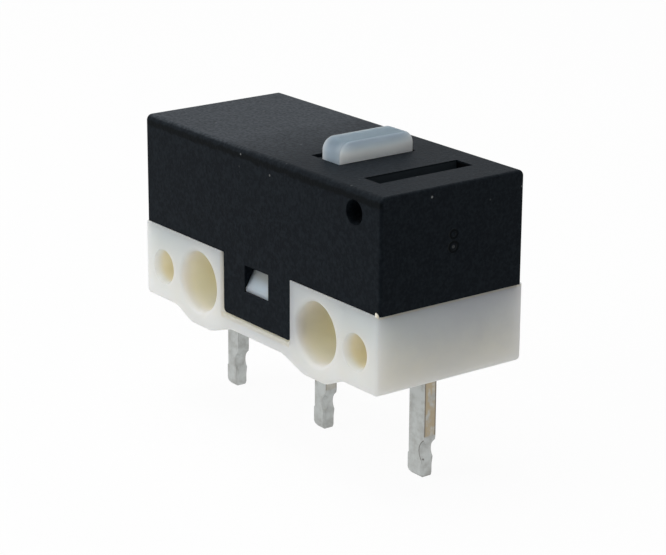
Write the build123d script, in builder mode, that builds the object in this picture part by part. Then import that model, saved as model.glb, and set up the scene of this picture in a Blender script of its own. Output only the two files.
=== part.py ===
from build123d import *
import os

# Subminiature snap-action switch: a moulded base with two mounting holes and three
# in-line pins, a snap-on cover, a sliding plunger and a sprung contact blade.
# Millimetres. The origin is midway between the axes of the two mounting holes,
# +X runs towards the plunger's end, -Y and +Y are the latched sides, +Z is up.

# Housing
body_length = 12.8
base_width = 5.76
cover_step = 0.08
cover_top = 5.08
parting_height = 1.38
base_depth = 1.18
base_edge = 0.12
base_foot_round = 0.18
cover_end_edge = 0.1
cover_long_edge = 0.2
cover_wall = 0.55
fit_gap = 0.05
flush = 0.01

# Mounting holes, and the swellings of the underside that carry them
hole_spacing = 6.5
hole_radius = 1.02
hole_rim = 0.15
web_share = 0.45
swell_depth = 1.56
swell_inner_foot = 1.45
swell_inner_end = 2.6
swell_outer_end = 3.74
swell_outer_foot = 4.58
swell_blend = 0.9

# Moulding pits at the four corners of the latched sides
pit_spacing = 10.6
pit_mouth = 0.6
pit_end = 0.36
pit_depth = 1.1

# Rim on the base that plugs into the cover
rim_height = 0.5
rim_wall = 0.3

# Snap latch on each long side
tongue_width = 3.68
tongue_end = -0.65
tongue_thickness = 0.4
tongue_corner = 0.15
tongue_side_gap = 0.03
tongue_foot_gap = 0.05
recess_rim = 0.1
window_width = 1.3
window_bottom = 0.32
window_top = 1.23
latch_gap = 0.03
latch_land = 0.12

# Plunger and its opening
plunger_x = 2.14
plunger_length = 0.94
plunger_width = 2.92
plunger_top = 5.76
plunger_corner = 0.42
plunger_edge = 0.07
relief_length = 0.44
relief_depth = 0.12
flange_width = 3.8
flange_height = 0.45
foot_length = 0.4
foot_width = 1.6
foot_nose = 0.18
press_travel = 0.55
foot_gap = 0.03

# Lever pocket and the pivot holes that cross it
pocket_x = 4.69
pocket_length = 0.79
pocket_width = 3.66
pocket_depth = 1.1
pocket_wall = 0.4
pivot_x = 5.1
pivot_height = 4.35
pivot_radius = 0.4

# Pins
pin_pitch = 5.08
com_pin_width = 0.76
pin_width = 0.6
pin_thickness = 0.46
pin_end = -4.78
pin_gap = 0.02
tip_inner_corner = 0.22
tip_outer_corner = 0.1
tip_bevel = 0.08
bump_out = 0.12
bump_height = 0.58
bump_rise = 0.14
waist_start = -3.4
waist_fall = 0.5
waist_in = 0.08
scoop_radius = 0.45
scoop_height = -3.87
scoop_out = 0.28
scoop_forward = 0.18

# Fixed contact tabs
tab_width = 1.0
tab_thickness = 0.35
tab_overhang = 0.5
contact_x = -3.4
contact_radius = 0.42
rivet_radius = 0.2
head_height = 0.25
contact_bevel = 0.07
contact_gap = 0.02
contact_travel = 0.75

# Common terminal inside the housing
arm_height = 0.6
anchor_height = 3.4
notch_depth = 0.09
notch_play = 0.07
seat_post_length = 0.4
seat_post_gap = 0.15
seat_gap = 0.05
seat_room = 0.3

# Blade
blade_bottom = 3.05
blade_thickness = 0.1
blade_width = 2.2
blade_nose_width = 1.5
blade_nose_length = 1.3
blade_corner = 0.3
blade_end_gap = 0.09
anchor_gap = 0.02
anchor_slot_width = 0.64
anchor_slot_room = 0.15
spring_slot_start = -2.2
spring_slot_width = 1.2
spring_width = 0.9
spring_root = 0.15
spring_crown_x = -0.65
spring_crown_height = 3.55
spring_tip_x = 0.9
spring_tip_height = 2.4

# Places that follow from the sizes above
half_length = body_length / 2
base_face = base_width / 2
cover_width = base_width - 2 * cover_step
cover_face = cover_width / 2
base_height = parting_height + base_depth
inner_length = body_length - 2 * cover_wall
inner_width = cover_width - 2 * cover_wall
ceiling = cover_top - cover_wall
tongue_back = cover_face - tongue_thickness
recess_face = tongue_back - fit_gap
recess_half = tongue_width / 2 + tongue_side_gap
recess_bottom = tongue_end - tongue_foot_gap
hole_web = hole_spacing / 2 - hole_radius - recess_half
hole_round = min(hole_rim, web_share * hole_web)
recess_round = min(recess_rim, web_share * hole_web)
com_half = com_pin_width / 2
pin_half = pin_width / 2
blade_top = blade_bottom + blade_thickness
blade_middle = blade_bottom + blade_thickness / 2
anchor_x = pin_pitch + com_half - notch_depth + anchor_gap
swing = contact_travel / (anchor_x - contact_x)
foot_drop = swing * (anchor_x - plunger_x)
foot_bottom = blade_top + press_travel - foot_drop + foot_gap
flange_top = ceiling - fit_gap
tip_shift = swing * (blade_middle - spring_tip_height)
seat_face = spring_tip_x + blade_thickness / 2 + tip_shift + seat_gap
seat_top = blade_bottom - swing * (anchor_x - seat_face) - seat_post_gap
contact_low = blade_bottom - head_height
contact_high = blade_top + head_height
open_contact_top = contact_low - contact_travel - contact_gap
closed_contact_bottom = contact_high + contact_gap
open_tab_top = parting_height + tab_thickness
closed_tab_bottom = closed_contact_bottom + head_height

# The two latched sides, each drawn from outside with its own X to the right
front = Plane.XZ
rear = Plane(origin=(0, 0, 0), x_dir=(-1, 0, 0), z_dir=(0, 1, 0))


with BuildPart() as base:
    with BuildSketch(Plane.XZ) as base_side:
        with Locations((0, -base_depth)):
            Rectangle(body_length, base_height, align=(Align.CENTER, Align.MIN))
        with BuildLine():
            Polyline(
                (swell_inner_foot, -base_depth),
                (swell_inner_end, -swell_depth),
                (swell_outer_end, -swell_depth),
                (swell_outer_foot, -base_depth),
                close=True,
            )
        make_face()
        mirror(about=Plane.YZ)
        underside = base_side.vertices().filter_by(lambda v: v.Y < 0)
        fillet(underside.filter_by(lambda v: abs(v.X) < half_length - flush), swell_blend)
        corners = base_side.vertices().filter_by(lambda v: abs(v.X) > half_length - flush)
        fillet(corners.filter_by(lambda v: v.Y < 0), base_foot_round)
    extrude(amount=base_face, both=True)
    rims = base.edges().filter_by(lambda e: abs(e.center().Y) > base_face - flush)
    fillet(rims.filter_by(lambda e: e.center().Z < parting_height - flush), base_edge)

    with BuildSketch(Plane.XY.offset(parting_height)):
        Rectangle(inner_length - 2 * fit_gap, inner_width - 2 * fit_gap)
        Rectangle(
            inner_length - 2 * fit_gap - 2 * rim_wall,
            inner_width - 2 * fit_gap - 2 * rim_wall,
            mode=Mode.SUBTRACT,
        )
    extrude(amount=rim_height)

    with BuildSketch(Plane.XZ):
        with GridLocations(hole_spacing, 0, 2, 1):
            Circle(hole_radius)
    extrude(amount=base_face, both=True, mode=Mode.SUBTRACT)
    mouths = base.edges().filter_by(lambda e: e.geom_type == GeomType.CIRCLE and e.radius == hole_radius)
    fillet(mouths, hole_round)

    for side in (front, rear):
        with Locations(side.offset(base_face)):
            with GridLocations(pit_spacing, 0, 2, 1):
                Cone(
                    bottom_radius=pit_end,
                    top_radius=pit_mouth,
                    height=pit_depth,
                    align=(Align.CENTER, Align.CENTER, Align.MAX),
                    mode=Mode.SUBTRACT,
                )
        with BuildSketch(side.offset(recess_face)) as recess:
            with Locations((0, (parting_height + recess_bottom) / 2)):
                Rectangle(2 * recess_half, parting_height - recess_bottom)
            fillet(recess.vertices().group_by(Axis.Y)[0], tongue_corner + tongue_side_gap)
        extrude(amount=base_face - recess_face, mode=Mode.SUBTRACT)

    # Rounded mouth of each recess, along its sides and foot
    mouths = base.edges().filter_by(lambda e: abs(e.center().Y) > base_face - flush)
    mouths = mouths.filter_by(lambda e: abs(e.center().X) < recess_half + flush)
    mouths = mouths.filter_by(lambda e: recess_bottom - flush < e.center().Z < parting_height - flush)
    fillet(mouths, recess_round)

    with BuildSketch(Plane.YZ):
        with BuildLine():
            Polyline(
                (recess_face, window_bottom + latch_gap),
                (cover_face - latch_gap, window_bottom + latch_gap),
                (cover_face - latch_gap, window_bottom + latch_gap + latch_land),
                (recess_face, window_top),
                close=True,
            )
        make_face()
        mirror(about=Plane.YZ)
    extrude(amount=window_width / 2 - latch_gap, both=True)

    with BuildSketch(Plane.XY.offset(-swell_depth)):
        with Locations((pin_pitch, 0)):
            Rectangle(com_pin_width + 2 * pin_gap, pin_thickness + 2 * pin_gap)
        with Locations((0, 0), (-pin_pitch, 0)):
            Rectangle(pin_width + 2 * pin_gap, pin_thickness + 2 * pin_gap)
    extrude(amount=swell_depth + parting_height + rim_height, mode=Mode.SUBTRACT)


with BuildPart() as cover:
    with BuildSketch(Plane.YZ) as cover_section:
        with Locations((0, (cover_top + parting_height) / 2)):
            Rectangle(cover_width, cover_top - parting_height)
        fillet(cover_section.vertices().group_by(Axis.Y)[-1], cover_long_edge)
    extrude(amount=half_length, both=True)
    end_edges = cover.edges().filter_by(lambda e: abs(e.center().X) > half_length - flush)
    fillet(end_edges.filter_by(lambda e: e.center().Z > parting_height + flush), cover_end_edge)
    with BuildSketch(Plane.XY.offset(parting_height)):
        Rectangle(inner_length, inner_width)
    extrude(amount=ceiling - parting_height, mode=Mode.SUBTRACT)

    # Latch tongues, hanging from the side walls, each with its window
    for side in (front, rear):
        with BuildSketch(side.offset(tongue_back)) as tongue:
            with Locations((0, (parting_height + tongue_end) / 2)):
                Rectangle(tongue_width, parting_height - tongue_end)
            fillet(tongue.vertices().group_by(Axis.Y)[0], tongue_corner)
            with Locations((0, (window_top + window_bottom) / 2)):
                Rectangle(window_width, window_top - window_bottom, mode=Mode.SUBTRACT)
        extrude(amount=tongue_thickness)

    # Solid block under the lever pocket
    block_start = pocket_x - pocket_length / 2 - pocket_wall
    block_end = half_length - cover_wall
    with BuildSketch(Plane.XY.offset(ceiling)):
        with Locations(((block_start + block_end) / 2, 0)):
            Rectangle(block_end - block_start, inner_width)
    extrude(amount=-(ceiling - cover_top + pocket_depth + pocket_wall))
    with BuildSketch(Plane.XY.offset(cover_top)):
        with Locations((pocket_x, 0)):
            Rectangle(pocket_length, pocket_width)
    extrude(amount=-pocket_depth, mode=Mode.SUBTRACT)
    with BuildSketch(Plane.XZ):
        with Locations((pivot_x, pivot_height)):
            Circle(pivot_radius)
    extrude(amount=cover_face, both=True, mode=Mode.SUBTRACT)

    # Opening for the plunger, with the shallow relief along its inner side
    with BuildSketch(Plane.XY.offset(cover_top)):
        with Locations((plunger_x, 0)):
            Rectangle(plunger_length + 2 * fit_gap, plunger_width + 2 * fit_gap)
    extrude(amount=-cover_wall, mode=Mode.SUBTRACT)
    with BuildSketch(Plane.XY.offset(cover_top)):
        with Locations((plunger_x - plunger_length / 2 - fit_gap - relief_length / 2, 0)):
            Rectangle(relief_length, plunger_width + 2 * fit_gap)
    extrude(amount=-relief_depth, mode=Mode.SUBTRACT)


with BuildPart() as plunger:
    with BuildSketch(Plane.YZ.offset(plunger_x)) as head:
        with Locations((0, (plunger_top + flange_top) / 2)):
            Rectangle(plunger_width, plunger_top - flange_top)
        fillet(head.vertices().group_by(Axis.Y)[-1], plunger_corner)
    extrude(amount=plunger_length / 2, both=True)
    fillet(plunger.edges().filter_by(lambda e: e.center().Z > flange_top + plunger_edge), plunger_edge)
    with BuildSketch(Plane.XY.offset(flange_top)):
        with Locations((plunger_x, 0)):
            Rectangle(plunger_length, flange_width)
    extrude(amount=-flange_height)
    with BuildSketch(Plane.XZ) as foot:
        with Locations((plunger_x, (flange_top - flange_height + foot_bottom) / 2)):
            Rectangle(foot_length, flange_top - flange_height - foot_bottom)
        fillet(foot.vertices().group_by(Axis.Y)[0], foot_nose)
    extrude(amount=foot_width / 2, both=True)


def pin_profile(pin_x, half_width, upper_end):
    # Outline of one pin seen from the front: a straight strip whose tip is pushed
    # sideways, so that it bulges on the inner side and draws in on the other
    bump_side = pin_x - half_width - bump_out
    waist_side = pin_x + half_width - waist_in
    with BuildSketch(Plane.XZ) as strip:
        with BuildLine():
            Polyline(
                (pin_x - half_width, upper_end),
                (pin_x - half_width, pin_end + bump_height + bump_rise),
                (bump_side, pin_end + bump_height),
                (bump_side, pin_end),
                (waist_side, pin_end),
                (waist_side, waist_start - waist_fall),
                (pin_x + half_width, waist_start),
                (pin_x + half_width, upper_end),
                close=True,
            )
        make_face()
        fillet(strip.vertices().group_by(Axis.Y)[0].sort_by(Axis.X)[0], tip_inner_corner)
        fillet(strip.vertices().group_by(Axis.Y)[0].sort_by(Axis.X)[-1], tip_outer_corner)
    return strip.sketch


def at_tip(edge):
    # The lower rim of a pin's two flat sides
    low = edge.center().Z < pin_end + tip_inner_corner
    return low and abs(edge.center().Y) > pin_thickness / 2 - flush


def scoops(pin_x, half_width):
    # Round tool marks pressed into the outer corners of a pin, just above its tip
    centre_x = pin_x + half_width - waist_in + scoop_out
    centre_y = pin_thickness / 2 + scoop_forward
    with Locations((centre_x, -centre_y, scoop_height), (centre_x, centre_y, scoop_height)):
        Sphere(scoop_radius, mode=Mode.SUBTRACT)


with BuildPart() as com_terminal:
    extrude(pin_profile(pin_pitch, com_half, anchor_height), amount=pin_thickness / 2, both=True)
    chamfer(com_terminal.edges().filter_by(at_tip), tip_bevel)
    scoops(pin_pitch, com_half)
    with BuildSketch(Plane.XZ):
        with Locations(((seat_face + pin_pitch) / 2, parting_height + arm_height / 2)):
            Rectangle(pin_pitch - seat_face, arm_height)
        with Locations((seat_face + seat_post_length / 2, (parting_height + seat_top) / 2)):
            Rectangle(seat_post_length, seat_top - parting_height)
    extrude(amount=pin_thickness / 2, both=True)
    # Notch on the outer side of the anchor post, which the blade's end hooks into
    with BuildSketch(Plane.XZ):
        with Locations((anchor_x - anchor_gap + notch_depth / 2, blade_middle)):
            Rectangle(notch_depth, blade_thickness + 2 * notch_play)
    extrude(amount=pin_thickness / 2, both=True, mode=Mode.SUBTRACT)


with BuildPart() as no_terminal:
    extrude(pin_profile(0, pin_half, parting_height), amount=pin_thickness / 2, both=True)
    chamfer(no_terminal.edges().filter_by(at_tip), tip_bevel)
    scoops(0, pin_half)
    with BuildSketch(Plane.XY.offset(parting_height)):
        with Locations(((pin_half + contact_x - tab_overhang) / 2, 0)):
            Rectangle(pin_half - contact_x + tab_overhang, tab_width)
    extrude(amount=tab_thickness)


with BuildPart() as nc_terminal:
    extrude(pin_profile(-pin_pitch, pin_half, closed_tab_bottom), amount=pin_thickness / 2, both=True)
    chamfer(nc_terminal.edges().filter_by(at_tip), tip_bevel)
    scoops(-pin_pitch, pin_half)
    with BuildSketch(Plane.XY.offset(closed_tab_bottom)):
        tab_start = -pin_pitch - pin_half
        tab_end = contact_x + tab_overhang
        with Locations(((tab_start + tab_end) / 2, 0)):
            Rectangle(tab_end - tab_start, tab_width)
    extrude(amount=tab_thickness)


def contact_disc(bottom, height):
    # Face of one round contact, its outline placed at the contact end of the blade
    with BuildSketch(Plane.XY.offset(bottom)) as disc:
        with Locations((contact_x, 0)):
            Circle(contact_radius)
    return extrude(disc.sketch, amount=height)


with BuildPart() as no_contact:
    add(contact_disc(open_tab_top, open_contact_top - open_tab_top))
    chamfer(no_contact.edges().group_by(Axis.Z)[-1], contact_bevel)

with BuildPart() as nc_contact:
    add(contact_disc(closed_contact_bottom, head_height))
    chamfer(nc_contact.edges().group_by(Axis.Z)[0], contact_bevel)

with BuildPart() as moving_contact:
    add(contact_disc(contact_low, head_height))
    add(contact_disc(blade_top, head_height))
    chamfer(moving_contact.edges().group_by(Axis.Z)[0], contact_bevel)
    chamfer(moving_contact.edges().group_by(Axis.Z)[-1], contact_bevel)
    with BuildSketch(Plane.XY.offset(blade_bottom)):
        with Locations((contact_x, 0)):
            Circle(rivet_radius)
    extrude(amount=blade_thickness)


with BuildPart() as snap_spring:
    blade_start = contact_x - contact_radius - blade_corner
    blade_end = half_length - cover_wall - blade_end_gap
    slot_start = pin_pitch - com_half - anchor_slot_room
    spring_slot_end = seat_face + seat_room
    with BuildSketch(Plane.XY.offset(blade_bottom)) as blade:
        with Locations(((blade_start + blade_nose_length + blade_end) / 2, 0)):
            Rectangle(blade_end - blade_start - blade_nose_length, blade_width)
        with Locations(((blade_start + blade_end) / 2, 0)):
            Rectangle(blade_end - blade_start, blade_nose_width)
        fillet(blade.vertices().group_by(Axis.X)[0], blade_corner)
        with Locations(((slot_start + anchor_x) / 2, 0)):
            Rectangle(anchor_x - slot_start, anchor_slot_width, mode=Mode.SUBTRACT)
        with Locations(((spring_slot_start + spring_slot_end) / 2, 0)):
            Rectangle(spring_slot_end - spring_slot_start, spring_slot_width, mode=Mode.SUBTRACT)
        with Locations((contact_x, 0)):
            Circle(rivet_radius, mode=Mode.SUBTRACT)
    extrude(amount=blade_thickness)
    # Curved tongue cut from the blade's middle, sprung between its root and the seat
    with BuildSketch(Plane.XZ):
        with BuildLine() as curve:
            ThreePointArc(
                (spring_slot_start - spring_root, blade_middle),
                (spring_crown_x, spring_crown_height),
                (spring_tip_x, spring_tip_height),
            )
        trace(line_width=blade_thickness)
    extrude(amount=spring_width / 2, both=True)


base.part.label = "base"
cover.part.label = "cover"
plunger.part.label = "plunger"
com_terminal.part.label = "com_terminal"
no_terminal.part.label = "no_terminal"
nc_terminal.part.label = "nc_terminal"
no_contact.part.label = "no_contact"
nc_contact.part.label = "nc_contact"
moving_contact.part.label = "moving_contact"
snap_spring.part.label = "snap_spring"

pieces = (
    base,
    cover,
    plunger,
    com_terminal,
    no_terminal,
    nc_terminal,
    no_contact,
    nc_contact,
    moving_contact,
    snap_spring,
)
os.makedirs("parts", exist_ok=True)
for piece in pieces:
    export_step(piece.part, f"parts/{piece.part.label}.step")
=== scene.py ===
import math

import bmesh
import bpy
from mathutils import Matrix, Vector, noise


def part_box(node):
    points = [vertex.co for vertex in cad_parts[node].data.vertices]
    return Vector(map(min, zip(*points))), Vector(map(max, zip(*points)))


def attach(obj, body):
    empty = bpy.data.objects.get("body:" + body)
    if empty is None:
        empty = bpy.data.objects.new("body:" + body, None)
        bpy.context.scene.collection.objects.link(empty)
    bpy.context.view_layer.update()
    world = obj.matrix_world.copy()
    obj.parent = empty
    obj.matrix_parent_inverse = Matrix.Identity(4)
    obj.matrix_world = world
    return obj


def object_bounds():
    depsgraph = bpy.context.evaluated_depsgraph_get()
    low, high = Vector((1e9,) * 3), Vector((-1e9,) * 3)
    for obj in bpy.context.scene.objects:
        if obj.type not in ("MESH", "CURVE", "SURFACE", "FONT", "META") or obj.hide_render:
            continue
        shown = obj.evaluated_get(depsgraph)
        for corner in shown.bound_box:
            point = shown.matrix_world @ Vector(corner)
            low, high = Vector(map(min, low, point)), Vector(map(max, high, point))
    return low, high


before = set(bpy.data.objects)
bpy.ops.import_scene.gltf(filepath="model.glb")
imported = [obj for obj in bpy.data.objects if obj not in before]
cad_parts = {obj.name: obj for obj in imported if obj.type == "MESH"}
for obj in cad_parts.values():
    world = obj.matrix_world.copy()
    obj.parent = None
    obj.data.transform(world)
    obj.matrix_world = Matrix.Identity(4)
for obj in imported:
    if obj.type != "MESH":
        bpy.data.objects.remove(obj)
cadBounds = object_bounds()
mm = 0.001


# Shader maths: a socket that takes part in plain expressions
class Wire:
    def __init__(self, tree, socket):
        self.tree = tree
        self.socket = socket

    def beside(self, output):
        return Wire(self.tree, self.socket.node.outputs[output])

    def maths(self, operation, first, second=0.0):
        made = self.tree.nodes.new("ShaderNodeMath")
        made.operation = operation
        plug(self.tree, made.inputs[0], first)
        plug(self.tree, made.inputs[1], second)
        return Wire(self.tree, made.outputs[0])

    def __add__(self, other):
        return self.maths("ADD", self, other)

    def __radd__(self, other):
        return self.maths("ADD", other, self)

    def __sub__(self, other):
        return self.maths("SUBTRACT", self, other)

    def __rsub__(self, other):
        return self.maths("SUBTRACT", other, self)

    def __mul__(self, other):
        return self.maths("MULTIPLY", self, other)

    def __rmul__(self, other):
        return self.maths("MULTIPLY", other, self)

    def __pow__(self, other):
        return self.maths("POWER", self, other)

    def __abs__(self):
        return self.maths("ABSOLUTE", self)

    def atLeast(self, other):
        return self.maths("MAXIMUM", self, other)

    def atMost(self, other):
        return self.maths("MINIMUM", self, other)


def plug(tree, target, value):
    if isinstance(value, Wire):
        tree.links.new(value.socket, target)
    else:
        target.default_value = value


# A node tree, and the one way that nodes are added to it
class Graph:
    def __init__(self, tree):
        self.tree = tree

    def node(self, kind, settings=None, inputs=None, output=0):
        made = self.tree.nodes.new("ShaderNode" + kind)
        for name, value in (settings or {}).items():
            setattr(made, name, value)
        for name, value in (inputs or {}).items():
            plug(self.tree, made.inputs[name], value)
        return Wire(self.tree, made.outputs[output])

    def seenRay(self):
        camera = self.node("LightPath", output="Is Camera Ray")
        glossy = camera.beside("Is Glossy Ray")
        return camera.atLeast(glossy).atLeast(camera.beside("Is Transmission Ray"))


# One material on the standard shader
class Finish(Graph):
    def __init__(self, name, **constants):
        self.material = bpy.data.materials.new(name)
        self.material.use_nodes = True
        super().__init__(self.material.node_tree)
        self.shader = self.tree.nodes["Principled BSDF"]
        self.set(**constants)

    def set(self, **values):
        for name, value in values.items():
            plug(self.tree, self.shader.inputs[name.replace("_", " ")], value)

    def place(self):
        return self.node("TexCoord", output="Object")

    def split(self, vector):
        first = self.node("SeparateXYZ", inputs={0: vector})
        return [first.beside(axis) for axis in "XYZ"]

    def facing(self):
        return self.split(self.node("TexCoord", output="Normal"))

    def noise(self, size, detail, roughness, stretch=None):
        where = self.place()
        if stretch:
            where = self.node("Mapping", inputs={"Vector": where, "Scale": stretch})
        inputs = {"Vector": where, "Scale": 1 / size, "Detail": detail, "Roughness": roughness}
        return self.node("TexNoise", inputs=inputs)

    # Smooth rise from low to high, or a fall where low is the greater of the two
    def step(self, value, low, high, fromValue=0.0, toValue=1.0):
        settings = {"interpolation_type": "SMOOTHSTEP"}
        inputs = {"Value": value, 1: low, 2: high, 3: fromValue, 4: toValue}
        return self.node("MapRange", settings, inputs)

    def band(self, value, low, high, soft):
        rise = self.step(value, low - soft, low + soft)
        return rise * self.step(value, high + soft, high - soft)

    # Round dots in a share of the cells of a loose grid
    def specks(self, spacing, radius, share):
        cells = self.node("TexVoronoi", inputs={"Vector": self.place(), "Scale": 1 / spacing})
        pick = self.split(cells.beside("Color"))[0]
        dot = self.step(cells, radius / spacing, 0.5 * radius / spacing)
        return dot * self.step(pick, 1 - share, 1 - 0.9 * share)

    def mix(self, factor, first, second):
        return self.node("Mix", {"data_type": "RGBA"}, {0: factor, 6: first, 7: second}, output=2)

    def bump(self, height, distance):
        self.set(Normal=self.node("Bump", inputs={"Height": height, "Distance": distance}))


def colour(red, green, blue):
    return (red, green, blue, 1.0)


# Black moulded cover. Each pattern is a size, a detail and a roughness
coverLow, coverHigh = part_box("cover")
coverLook = {
    "black": colour(0.0038, 0.0060, 0.0088),
    "mottled": colour(0.0100, 0.0138, 0.0178),
    "mottledFrom": (0.40, 0.64),
    "fineShare": 0.6,
    "cloud": (2.4 * mm, 3.0, 0.55),
    "mottle": (0.30 * mm, 4.0, 0.6),
    "grain": (0.11 * mm, 3.0, 0.6),
    "depth": 0.012 * mm,
    "mottleDepth": 0.6,
    "roughness": {"least": 0.48, "mottle": 0.14, "grain": 0.10},
    "upward": (0.55, 0.95),
    # Dust with a painted sheen: pale patches lightening the top away from the plunger
    "dustAndSheen": {
        "shade": colour(0.085, 0.096, 0.110),
        "reach": (2.5 * mm, -5.5 * mm),
        "wander": 3.0 * mm,
        "near": 0.06,
        "most": 0.6,
        "patches": (0.32, 0.68, 0.38, 1.0),
    },
    # Painted shadow under the long top edges; its shade colour also draws the gate rings
    "line": {
        "shade": colour(0.0010, 0.0022, 0.0030),
        "strength": 0.9,
        "below": 0.16 * mm,
        "width": 0.20 * mm,
        "soft": 0.05 * mm,
        "wander": 0.30 * mm,
        "waves": (0.35 * mm, 4.0, 0.6),
        "fromFace": (0.12 * mm, 0.02 * mm),
    },
    # Painted light on the pocket's side walls, painted shade at its ends
    "slot": {
        "wall": colour(0.042, 0.054, 0.064),
        "end": colour(0.0005, 0.0008, 0.0012),
        "sides": (4.27 * mm, 5.11 * mm, 0.01 * mm),
        "ends": (1.90 * mm, 1.85 * mm),
        "lip": 0.08 * mm,
        "facing": (0.4, 0.6),
    },
    "gates": {
        "upper": {"height": 3.50 * mm, "radius": 0.17 * mm},
        "lower": {"height": 3.10 * mm, "radius": 0.20 * mm},
        "line": 0.08 * mm,
        "soft": 0.02 * mm,
        "wobble": 0.05 * mm,
        "dot": 0.05 * mm,
        "pale": colour(0.060, 0.064, 0.066),
        "fromEnd": (0.10 * mm, 0.05 * mm),
        "dip": 3.0,
    },
    "specks": {
        "shade": colour(0.26, 0.27, 0.27),
        "strength": 0.8,
        "atEdge": (0.40 * mm, 0.050 * mm, 0.30),
        "belowTop": (0.90 * mm, 0.25 * mm),
        "fewerOnTop": 0.8,
        "elsewhere": (0.90 * mm, 0.045 * mm, 0.08),
        "fainter": 0.6,
    },
}


def coverPlastic():
    look = Finish("coverPlastic", IOR=1.45, Specular_IOR_Level=0.05)
    x, y, z = look.split(look.place())
    across, along, upward = look.facing()
    up = look.step(upward, *coverLook["upward"])
    top = coverHigh.z
    cloud = look.noise(*coverLook["cloud"])
    mottle = look.noise(*coverLook["mottle"])
    grain = look.noise(*coverLook["grain"])
    fine = coverLook["fineShare"]
    mottled = look.step((1 - fine) * mottle + fine * grain, *coverLook["mottledFrom"])
    body = look.mix(mottled, coverLook["black"], coverLook["mottled"])
    # Dusty mottles on the top, with a painted sheen: pale patches lighten the top, most of them
    # away from the plunger
    dustAndSheen = coverLook["dustAndSheen"]
    far = look.step(x + dustAndSheen["wander"] * (cloud - 0.5), *dustAndSheen["reach"])
    amount = dustAndSheen["near"] + (1 - dustAndSheen["near"]) * far.atMost(dustAndSheen["most"])
    body = look.mix(up * amount * look.step(grain, *dustAndSheen["patches"]), body, dustAndSheen["shade"])
    # Painted shadow: a ragged dark line under the long top edges
    line = coverLook["line"]
    ragged = z + line["wander"] * (look.noise(*line["waves"]) - 0.5)
    lineTop = top - line["below"]
    shadowLine = look.band(ragged, lineTop - line["width"], lineTop, line["soft"])
    onFace = look.step(abs(y), *(coverHigh.y - inset for inset in line["fromFace"]))
    body = look.mix(line["strength"] * (shadowLine * onFace), body, line["shade"])
    # Painted light and shade in the lever pocket: its side walls painted lighter, its far ends
    # painted near black
    slot = coverLook["slot"]
    inSlot = look.band(x, *slot["sides"]) * look.step(z, top, top - slot["lip"])
    inSlot = inSlot * look.step(abs(y), *slot["ends"])
    body = look.mix(inSlot * look.step(abs(across), *slot["facing"]), body, slot["wall"])
    body = look.mix(inSlot * look.step(abs(along), *slot["facing"]), body, slot["end"])
    # Two round gate marks in the middle of the end, the lower one with a pale dot
    gate = coverLook["gates"]
    onEnd = look.step(x, *(coverHigh.x - inset for inset in gate["fromEnd"]))
    rings = 0.0
    for mark in (gate["upper"], gate["lower"]):
        out = (y ** 2.0 + (z - mark["height"]) ** 2.0) ** 0.5 + gate["wobble"] * (mottle - 0.5)
        ring = look.band(out, mark["radius"] - gate["line"], mark["radius"], gate["soft"])
        rings = ring.atLeast(rings)
    rings = rings * onEnd
    body = look.mix(rings, body, line["shade"])
    body = look.mix(look.band(out, 0.0, gate["dot"], gate["soft"]) * onEnd, body, gate["pale"])
    # Pale specks, most of them near the top edges
    speck = coverLook["specks"]
    nearEdge = look.step(z, *(top - drop for drop in speck["belowTop"]))
    dots = look.specks(*speck["atEdge"]) * nearEdge * (1 - speck["fewerOnTop"] * up)
    dots = dots.atLeast(speck["fainter"] * look.specks(*speck["elsewhere"]))
    body = look.mix(speck["strength"] * dots * (1 - inSlot), body, speck["shade"])
    look.set(Base_Color=body)
    rough = coverLook["roughness"]
    look.set(Roughness=rough["least"] + rough["mottle"] * mottle + rough["grain"] * grain)
    relief = grain + coverLook["mottleDepth"] * mottle - gate["dip"] * rings
    look.bump(relief, coverLook["depth"])
    return look.material


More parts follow.
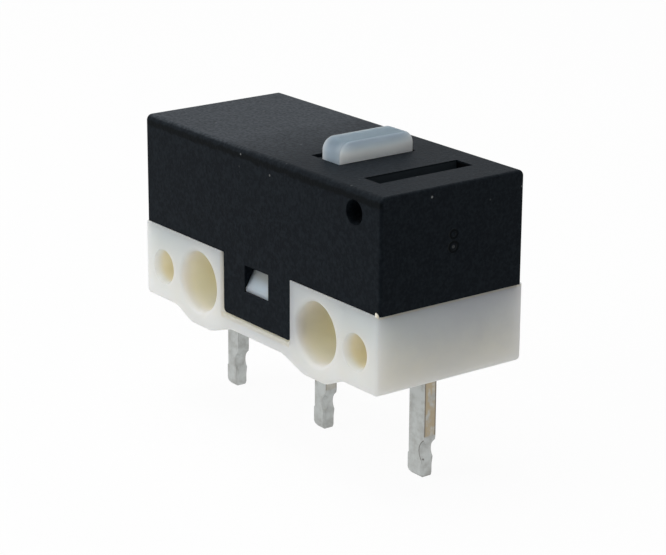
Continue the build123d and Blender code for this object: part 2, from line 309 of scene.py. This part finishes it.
# Milky base
baseLow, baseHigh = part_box("base")
baseLook = {
    "milk": colour(0.82, 0.85, 0.81),
    "cream": colour(0.82, 0.83, 0.76),
    "creamFrom": (0.3, 0.7),
    "scatter": {"radius": (1.0, 0.95, 0.85), "scale": 2.2 * mm},
    "cloud": (1.6 * mm, 3.0, 0.5),
    "grain": (0.14 * mm, 2.0, 0.5),
    "depth": 0.003 * mm,
    "roughness": {"least": 0.40, "cloud": 0.12},
    "parting": 1.38 * mm,
    # Painted shade towards the cover
    "shadow": {
        "shade": colour(0.65, 0.705, 0.695),
        "height": (-0.9 * mm, 1.3 * mm),
        "wander": 0.3 * mm,
    },
    # Painted shade on the end faces
    "end": {
        "facing": (0.6, 0.95),
        "shade": colour(0.74, 0.725, 0.67),
        "strength": 0.8,
        "dull": colour(0.50, 0.505, 0.54),
        "paintedShadeStrength": 0.75,
        "blotch": (1.44 * mm, 4.0, 0.6),
        "height": (-0.9 * mm, 1.1 * mm),
        "heightWander": 1.6 * mm,
        "back": (-2.7 * mm, 2.4 * mm, 0.45, 1.0),
        "backWander": 2.0 * mm,
    },
    # A straw parting line on the ends, and painted shade round the tongue in the latch recess
    "yellowAndShade": {
        "shade": colour(0.68, 0.62, 0.44),
        "seam": 0.55,
        "seamDrop": (0.09 * mm, 0.03 * mm),
        "under": 0.65,
        "underBand": (-0.82 * mm, -0.64 * mm, 0.06 * mm),
        "underWander": 0.04 * mm,
        "beside": 0.35,
        "besideBand": (1.82 * mm, 1.94 * mm, 0.03 * mm),
        "recessHalf": 1.87 * mm,
        "recessFoot": -0.70 * mm,
        "soft": 0.05 * mm,
    },
    # Painted light inside the mounting holes
    "hole": {
        "shade": colour(0.998, 0.895, 0.70),
        "spacing": 6.5 * mm,
        "radius": 1.02 * mm,
        "edge": (0.10 * mm, 0.0),
        "depth": (-0.05 * mm, 0.55 * mm),
    },
    # Painted shade in the moulding pits
    "pit": {
        "shade": colour(0.80, 0.73, 0.56),
        "spacing": 10.6 * mm,
        "radius": 0.60 * mm,
        "edge": (0.0, -0.08 * mm),
        "depth": (-0.10 * mm, 0.40 * mm),
    },
    # Painted shade on the latch in the window
    "latch": {
        "foot": colour(0.57, 0.745, 0.87),
        "top": colour(0.34, 0.37, 0.36),
        "rise": (0.55 * mm, 0.95 * mm),
        "half": (0.70 * mm, 0.65 * mm),
        "height": (0.25 * mm, 1.40 * mm, 0.03 * mm),
        "face": (2.20 * mm, 2.23 * mm),
    },
}


def basePlastic():
    look = Finish("basePlastic", IOR=1.49, Specular_IOR_Level=0.3, Subsurface_Weight=1.0)
    scatter = baseLook["scatter"]
    look.set(Subsurface_Radius=scatter["radius"], Subsurface_Scale=scatter["scale"])
    x, y, z = look.split(look.place())
    cloud = look.noise(*baseLook["cloud"])
    grain = look.noise(*baseLook["grain"])
    creamy = look.step(cloud, *baseLook["creamFrom"])
    body = look.mix(creamy, baseLook["milk"], baseLook["cream"])
    # Painted shade: the translucent wall darker and cooler towards the dark cover above it
    shadow = baseLook["shadow"]
    paintedShade = look.step(z + shadow["wander"] * (cloud - 0.5), *shadow["height"])
    body = look.mix(paintedShade, body, shadow["shade"])
    # Painted shade: the end faces darker, and darker still towards the top and away from the
    # front
    end = baseLook["end"]
    endOn = look.step(abs(look.facing()[0]), *end["facing"])
    body = look.mix(end["strength"] * endOn * (1 - paintedShade), body, end["shade"])
    blotch = look.noise(*end["blotch"]) - 0.5
    high = look.step(z + end["heightWander"] * blotch, *end["height"])
    away = look.step(y + end["backWander"] * blotch, *end["back"])
    body = look.mix(end["paintedShadeStrength"] * endOn * high * away, body, end["dull"])
    # A straw line at the parting line on the ends, and painted shade in that colour under the
    # cover's tongue and beside it in the latch recess
    yellowAndShade = baseLook["yellowAndShade"]
    seam = endOn * look.step(z, *(baseLook["parting"] - drop for drop in yellowAndShade["seamDrop"]))
    half, foot, soft = yellowAndShade["recessHalf"], yellowAndShade["recessFoot"], yellowAndShade["soft"]
    under = look.step(abs(x), half + soft, half)
    under = under * look.band(z + yellowAndShade["underWander"] * (grain - 0.5), *yellowAndShade["underBand"])
    beside = look.band(abs(x), *yellowAndShade["besideBand"]) * look.step(z, foot - soft, foot)
    tingeAndShade = (yellowAndShade["seam"] * seam).atLeast(yellowAndShade["under"] * under)
    body = look.mix(tingeAndShade.atLeast(yellowAndShade["beside"] * beside), body, yellowAndShade["shade"])
    # Painted light inside the mounting holes: a brighter warm colour standing in for light
    # through the translucent plastic; the moulding pits painted darker and warm, as shade
    for opening in (baseLook["hole"], baseLook["pit"]):
        out = ((abs(x) - opening["spacing"] / 2) ** 2.0 + z ** 2.0) ** 0.5 - opening["radius"]
        inside = look.step(out, *opening["edge"])
        inside = inside * look.step(baseHigh.y - abs(y), *opening["depth"])
        body = look.mix(inside, body, opening["shade"])
    # Painted shade on the latch in the cover's window: bluish at its foot, darker grey towards
    # the top
    latch = baseLook["latch"]
    onLatch = look.step(abs(x), *latch["half"]) * look.band(z, *latch["height"])
    onLatch = onLatch * look.step(abs(y), *latch["face"])
    latchShade = look.mix(look.step(z, *latch["rise"]), latch["foot"], latch["top"])
    body = look.mix(onLatch, body, latchShade)
    look.set(Base_Color=body)
    rough = baseLook["roughness"]
    look.set(Roughness=rough["least"] + rough["cloud"] * cloud)
    look.bump(grain + cloud, baseLook["depth"])
    return look.material


# Bluish plunger with painted light: its sides, foot and the outer edges of its ends painted
# lighter and its top darker, for light that comes through the thin plastic
plungerLook = {
    # Painted light: sides, feet and end edges lighter, top darker
    "top": colour(0.165, 0.225, 0.270),
    "side": colour(0.325, 0.40, 0.47),
    "litSideFoot": colour(0.86, 0.95, 0.998),
    "sideRise": (5.75 * mm, 5.30 * mm),
    "sideFacing": (0.32, 0.85),
    "end": colour(0.145, 0.187, 0.230),
    "litEndFoot": colour(0.40, 0.49, 0.57),
    "endRise": (5.75 * mm, 5.15 * mm),
    "endFacing": (0.2, 0.9),
    "middle": 2.14 * mm,
    "rim": (0.10 * mm, 0.45 * mm),
    "rimLightStrength": 0.15,
    "scatter": {"radius": (1.0, 1.0, 1.0), "scale": 1.5 * mm},
    "grain": (0.3 * mm, 3.0, 0.5),
    "depth": 0.002 * mm,
    "roughness": {"least": 0.50, "grain": 0.12},
}


def plungerPlastic():
    look = Finish("plungerPlastic", IOR=1.5, Specular_IOR_Level=0.12, Subsurface_Weight=1.0)
    scatter = plungerLook["scatter"]
    look.set(Subsurface_Radius=scatter["radius"], Subsurface_Scale=scatter["scale"])
    x, y, z = look.split(look.place())
    across, along = look.facing()[:2]
    grain = look.noise(*plungerLook["grain"])
    rise = look.step(z, *plungerLook["endRise"])
    end = look.mix(rise, plungerLook["end"], plungerLook["litEndFoot"])
    rimLight = look.step(abs(x - plungerLook["middle"]), *plungerLook["rim"])
    end = look.mix(plungerLook["rimLightStrength"] * rimLight, end, plungerLook["litSideFoot"])
    rise = look.step(z, *plungerLook["sideRise"])
    side = look.mix(rise, plungerLook["side"], plungerLook["litSideFoot"])
    body = look.mix(look.step(abs(along), *plungerLook["endFacing"]), plungerLook["top"], end)
    body = look.mix(look.step(abs(across), *plungerLook["sideFacing"]), body, side)
    look.set(Base_Color=body)
    rough = plungerLook["roughness"]
    look.set(Roughness=rough["least"] + rough["grain"] * grain)
    look.bump(grain, plungerLook["depth"])
    return look.material


# Tin plated pins. A drawn-out pattern also has a stretch
pinLook = {
    "tin": colour(0.49, 0.51, 0.50),
    "dull": colour(0.375, 0.38, 0.365),
    "dullFrom": (0.35, 0.7),
    "dark": colour(0.12, 0.11, 0.10),
    "patch": (0.35 * mm, 4.0, 0.6),
    "lines": (0.06 * mm, 2.0, 0.5, (1.0, 1.0, 0.12)),
    "depth": 0.002 * mm,
    "patchDepth": 0.6,
    "roughness": {"least": 0.36, "patch": 0.18, "lines": 0.06},
    "sheared": {
        "shade": colour(0.40, 0.335, 0.235),
        "facing": (0.5, 0.9),
        "wear": (-3.0 * mm, 4.5 * mm),
        "foot": (-3.40 * mm, -3.32 * mm),
        "blots": (0.28 * mm, 3.0, 0.6, (1.0, 1.0, 0.6)),
        "blotsFrom": (0.26, 0.52),
        "corner": (0.185 * mm, 0.23 * mm, 0.015 * mm),
        "cornerStrength": (0.15, 0.6),
    },
    # Painted shade: dark rims round the scoops
    "scoop": {
        "across": (5.66 * mm, 0.50 * mm, -4.58 * mm),
        "forward": 0.41 * mm,
        "height": -3.87 * mm,
        "rim": (0.458 * mm, 0.495 * mm, 0.008 * mm),
        "facing": (0.4, 0.7),
        "strength": 0.8,
    },
    # Painted shade: dark tips
    "tip": {"rise": (-4.65 * mm, -4.73 * mm), "wander": 0.04 * mm, "strength": 0.45},
}


def tinPlate():
    look = Finish("tinPlate", Metallic=0.85)
    x, y, z = look.split(look.place())
    across, along = look.facing()[:2]
    sheared = pinLook["sheared"]
    patch = look.noise(*pinLook["patch"])
    blots = look.noise(*sheared["blots"])
    lines = look.noise(*pinLook["lines"])
    body = look.mix(look.step(patch, *pinLook["dullFrom"]), pinLook["tin"], pinLook["dull"])
    # The sheared sides let the brass show through, more on the pins to the right
    wear = look.step(x, *sheared["wear"])
    shank = look.step(across, *sheared["facing"]) * look.step(z, *sheared["foot"])
    bare = shank * wear * look.step(blots, *sheared["blotsFrom"])
    body = look.mix(bare, body, sheared["shade"])
    fresh, worn = sheared["cornerStrength"]
    corner = (fresh + worn * wear) * (shank * look.band(abs(y), *sheared["corner"]))
    # Painted shade: dark rims round the scoops, and dark tips
    scoop, tip = pinLook["scoop"], pinLook["tip"]
    beside = abs(x - scoop["across"][0])
    for place in scoop["across"][1:]:
        beside = beside.atMost(abs(x - place))
    level, drop = abs(y) - scoop["forward"], z - scoop["height"]
    out = (beside ** 2.0 + level ** 2.0 + drop ** 2.0) ** 0.5
    rim = look.band(out, *scoop["rim"]) * look.step(abs(along), *scoop["facing"])
    foot = look.step(z + tip["wander"] * patch, *tip["rise"])
    dark = corner.atLeast(scoop["strength"] * wear * wear * rim)
    dark = dark.atLeast(tip["strength"] * wear * foot)
    look.set(Base_Color=look.mix(dark, body, pinLook["dark"]))
    rough = pinLook["roughness"]
    look.set(Roughness=rough["least"] + rough["patch"] * patch + rough["lines"] * lines)
    look.bump(lines + pinLook["patchDepth"] * patch, pinLook["depth"])
    return look.material


# Contacts and spring strip inside
innerLook = {
    "silver": colour(0.78, 0.77, 0.74),
    "copper": colour(0.72, 0.47, 0.27),
    "tarnish": 0.8,
    "patch": (0.35 * mm, 3.0, 0.5),
    "lines": (0.05 * mm, 2.0, 0.5),
    "even": (1.0, 1.0, 1.0),
    "lengthwise": (0.1, 1.0, 1.0),
    "depth": 0.0015 * mm,
    "roughness": {"least": 0.25, "patch": 0.15},
}


def innerMetal(name, shade, stretch):
    look = Finish(name, Metallic=1.0)
    patch = look.noise(*innerLook["patch"])
    lines = look.noise(*innerLook["lines"], stretch)
    darker = colour(*(innerLook["tarnish"] * part for part in shade[:3]))
    look.set(Base_Color=look.mix(patch, shade, darker))
    rough = innerLook["roughness"]
    look.set(Roughness=rough["least"] + rough["patch"] * patch)
    look.bump(lines, innerLook["depth"])
    return look.material


def dress(nodes, material):
    for node in nodes:
        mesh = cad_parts[node].data
        mesh.materials.clear()
        mesh.materials.append(material)


silver = innerMetal("contactSilver", innerLook["silver"], innerLook["even"])
copper = innerMetal("springCopper", innerLook["copper"], innerLook["lengthwise"])
dress(["com_terminal", "no_terminal", "nc_terminal"], tinPlate())
dress(["no_contact", "nc_contact", "moving_contact"], silver)
dress(["snap_spring"], copper)
dress(["cover"], coverPlastic())
dress(["base"], basePlastic())
dress(["plunger"], plungerPlastic())
print("materials on", len(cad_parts), "nodes")


def makeObject(name, form, material):
    mesh = bpy.data.meshes.new(name)
    form.to_mesh(mesh)
    form.free()
    mesh.materials.append(material)
    made = bpy.data.objects.new(name, mesh)
    bpy.context.scene.collection.objects.link(made)
    return made


# Scrap of moulding flash left at the corner of the base
flashPlan = {
    "in": (0.090 * mm, 0.03 * mm),
    "half": (0.085 * mm, 0.036 * mm, 0.10 * mm),
    "lean": 0.05 * mm,
    "rough": 0.035 * mm,
    "lumps": 3.1,
    "pale": colour(0.93, 0.91, 0.82),
    "straw": colour(0.85, 0.79, 0.60),
    "strawFrom": (0.4, 0.65),
    "grain": (0.05 * mm, 3.0, 0.6),
    "depth": 0.004 * mm,
    "roughness": {"least": 0.40, "grain": 0.2},
}


def flashPlastic():
    look = Finish("flashPlastic", IOR=1.49, Specular_IOR_Level=0.3)
    grain = look.noise(*flashPlan["grain"])
    tinted = look.step(grain, *flashPlan["strawFrom"])
    look.set(Base_Color=look.mix(tinted, flashPlan["pale"], flashPlan["straw"]))
    rough = flashPlan["roughness"]
    look.set(Roughness=rough["least"] + rough["grain"] * grain)
    look.bump(grain, flashPlan["depth"])
    return look.material


def makeFlash():
    form = bmesh.new()
    bmesh.ops.create_icosphere(form, subdivisions=3, radius=1.0)
    for vert in form.verts:
        wobble = noise.noise(flashPlan["lumps"] * vert.co) * flashPlan["rough"]
        half = [side + min(0.0, wobble) for side in flashPlan["half"]]
        vert.co = Vector([part * side for part, side in zip(vert.co, half)])
        vert.co.x -= flashPlan["lean"] * (vert.co.z / flashPlan["half"][2]) ** 2
    # Between the two front faces, at the base's right-hand corner
    fromEnd, abovePart = flashPlan["in"]
    middle = (baseHigh.x - fromEnd, (baseLow.y + coverLow.y) / 2, baseLook["parting"] + abovePart)
    bmesh.ops.translate(form, verts=form.verts, vec=middle)
    bmesh.ops.recalc_face_normals(form, faces=form.faces)
    flash = makeObject("cornerFlash", form, flashPlastic())
    for face in flash.data.polygons:
        face.use_smooth = True
    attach(flash, "housing")


makeFlash()
print("corner flash made")


# Floor, under the tips of the pins
floorPlan = {"size": 0.6, "shade": colour(0.9, 0.9, 0.9), "white": 0.95}


def floorPaint():
    look = Finish("paleFloor", Roughness=0.9, Specular_IOR_Level=0.0)
    look.set(Base_Color=floorPlan["shade"])
    glow = look.node("Emission", inputs={"Color": colour(1, 1, 1), "Strength": 1.0})
    lit = Wire(look.tree, look.shader.outputs[0])
    share = look.seenRay() * floorPlan["white"]
    surface = look.node("MixShader", inputs={0: share, 1: lit, 2: glow})
    plug(look.tree, look.tree.nodes["Material Output"].inputs["Surface"], surface)
    return look.material


def makeFloor():
    form = bmesh.new()
    bmesh.ops.create_grid(form, x_segments=1, y_segments=1, size=floorPlan["size"] / 2)
    bmesh.ops.translate(form, verts=form.verts, vec=(0, 0, cadBounds[0][2]))
    makeObject("floor", form, floorPaint())


makeFloor()
print("floor made")


# Soft studio light
studio = {
    "room": colour(1, 1, 1),
    "world": 0.26,
    "lamps": {
        "overhead": {"at": (-0.03, -0.01, 0.16), "size": 0.14, "power": 0.17},
        "frontLeft": {"at": (-0.08, -0.14, 0.07), "size": 0.12, "power": 0.107},
    },
}


def makeLamp(name, plan):
    light = bpy.data.lights.new(name, "AREA")
    light.shape = "DISK"
    light.size = plan["size"]
    light.energy = plan["power"]
    lamp = bpy.data.objects.new(name, light)
    lamp.location = plan["at"]
    lamp.rotation_euler = (-Vector(plan["at"])).to_track_quat("-Z", "Y").to_euler()
    bpy.context.scene.collection.objects.link(lamp)


# The room lights the part evenly, and looks white where it is seen
def makeRoom():
    world = bpy.data.worlds.new("studioRoom")
    bpy.context.scene.world = world
    world.use_nodes = True
    graph = Graph(world.node_tree)
    room = world.node_tree.nodes["Background"]
    plug(graph.tree, room.inputs["Color"], studio["room"])
    plug(graph.tree, room.inputs["Strength"], graph.seenRay().atLeast(studio["world"]))


for lampName, lampPlan in studio["lamps"].items():
    makeLamp(lampName, lampPlan)
makeRoom()
print("lights made")


# Camera at the usual three-quarter view
cameraPlan = {
    "aim": (0.0, 0.0, 1.8 * mm),
    "azimuth": 52.917,
    "elevation": 17.846,
    "roll": 0.329,
    "distance": 75.576 * mm,
    "aside": 0.212 * mm,
    "above": -1.283 * mm,
    "lens": 125.48,
    "sensor": 36,
    "nearest": 1 * mm,
}


def makeCamera():
    turn = Matrix.Rotation(math.radians(cameraPlan["azimuth"]), 4, "Z")
    tilt = Matrix.Rotation(math.radians(90 - cameraPlan["elevation"]), 4, "X")
    roll = Matrix.Rotation(math.radians(cameraPlan["roll"]), 4, "Z")
    aim = Matrix.Translation(cameraPlan["aim"])
    back = Vector((cameraPlan["aside"], cameraPlan["above"], cameraPlan["distance"]))
    lens = bpy.data.cameras.new("camera")
    lens.lens = cameraPlan["lens"]
    lens.sensor_width = cameraPlan["sensor"]
    lens.clip_start = cameraPlan["nearest"]
    camera = bpy.data.objects.new("camera", lens)
    camera.matrix_world = aim @ turn @ tilt @ roll @ Matrix.Translation(back)
    bpy.context.scene.collection.objects.link(camera)
    bpy.context.scene.camera = camera


makeCamera()
bpy.context.scene.view_settings.view_transform = "Standard"
print("camera made")
